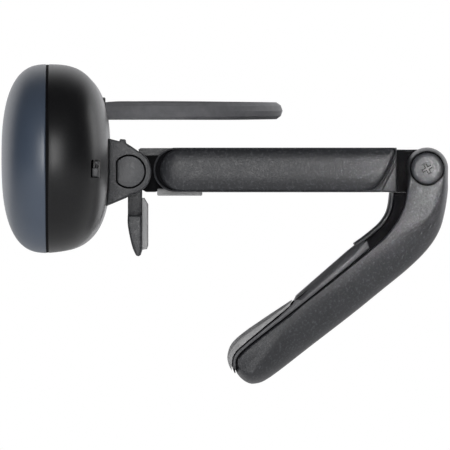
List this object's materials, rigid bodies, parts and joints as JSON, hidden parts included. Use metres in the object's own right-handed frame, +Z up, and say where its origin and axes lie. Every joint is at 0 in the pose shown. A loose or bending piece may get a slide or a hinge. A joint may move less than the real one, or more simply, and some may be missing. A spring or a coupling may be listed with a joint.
{
  "type": "webcam on a folding screen clip",
  "caption": "Pill-shaped webcam with a tilt hinge on a folding clip that grips a screen's top edge, with a USB lead.",
  "frame": {"origin": "middle of the rest pad's lower face, where the clip sits on a screen's top edge", "axes": "+X across the object to its right side as seen from behind, -Y the way the lens looks, +Z up"},
  "size_m": [0.155, 0.0761, 0.0545],
  "materials": {
    "front_housing": "satin moulded graphite plastic with a fine grain",
    "rear_housing": "satin moulded near-black plastic",
    "clip_plastic": "spark-eroded dark grey plastic",
    "rubber": "matte soft rubber",
    "gloss_black": "gloss black plastic",
    "clear_glass": "clear flat cover window",
    "lens_glass": "coated lens glass",
    "inner_black": "matte black moulded plastic",
    "circuit_board": "solder-masked board",
    "light_pipe": "frosted clear light pipe",
    "screw_steel": "plated steel",
    "screw_dark": "dark coated steel",
    "washer_steel": "stamped steel",
    "can_metal": "plated sheet steel",
    "cable_jacket": "soft matte cable jacket",
    "strap": "woven hook and loop strap"
  },
  "bodies": {
    "arm": {"arm_frame": "clip_plastic", "arm_cover_left": "clip_plastic", "arm_cover_right": "clip_plastic", "rest_pad": "rubber", "lip_pad": "rubber", "tilt_washer_left": "washer_steel", "tilt_washer_right": "washer_steel", "fold_washer_left": "washer_steel", "fold_washer_right": "washer_steel", "usb_cable": "cable_jacket", "cable_tail": "cable_jacket", "cable_coil": "cable_jacket", "cable_tie": "strap", "plug_grip": "cable_jacket", "plug_shell": "can_metal", "plug_insert": "inner_black"},
    "head": {"front_shell": "front_housing", "rear_shell": "rear_housing", "lens_bezel": "gloss_black", "lens_window": "clear_glass", "lens_element": "lens_glass", "lens_barrel": "inner_black", "lens_holder": "inner_black", "image_sensor": "inner_black", "main_board": "circuit_board", "microphone_left": "can_metal", "microphone_right": "can_metal", "status_led": "light_pipe", "status_light": "light_pipe", "shell_screw_left": "screw_steel", "shell_screw_right": "screw_steel", "snap_tab_left": "clip_plastic", "snap_tab_right": "clip_plastic", "cable_grommet": "rubber", "hinge_bracket": "clip_plastic", "hinge_cap_left": "clip_plastic", "hinge_cap_right": "clip_plastic", "bracket_screw_left": "screw_steel", "bracket_screw_right": "screw_steel", "tilt_pin": "screw_steel"},
    "leg": {"leg_shell": "clip_plastic", "leg_liner": "clip_plastic", "leg_pad": "rubber", "pivot_screw": "screw_dark", "pivot_nut": "screw_dark"}
  },
  "joints": [
    {"name": "head_tilt", "type": "hinge", "parent": "arm", "child": "head", "pos_m": [0, -0.00825, 0.0041], "axis": [1, 0, 0], "range_deg": [-20, 25], "deforming": ["usb_cable"]},
    {"name": "leg_fold", "type": "hinge", "parent": "arm", "child": "leg", "pos_m": [0, 0.0428, 0.0046], "axis": [1, 0, 0], "range_deg": [0, 110]}
  ]
}
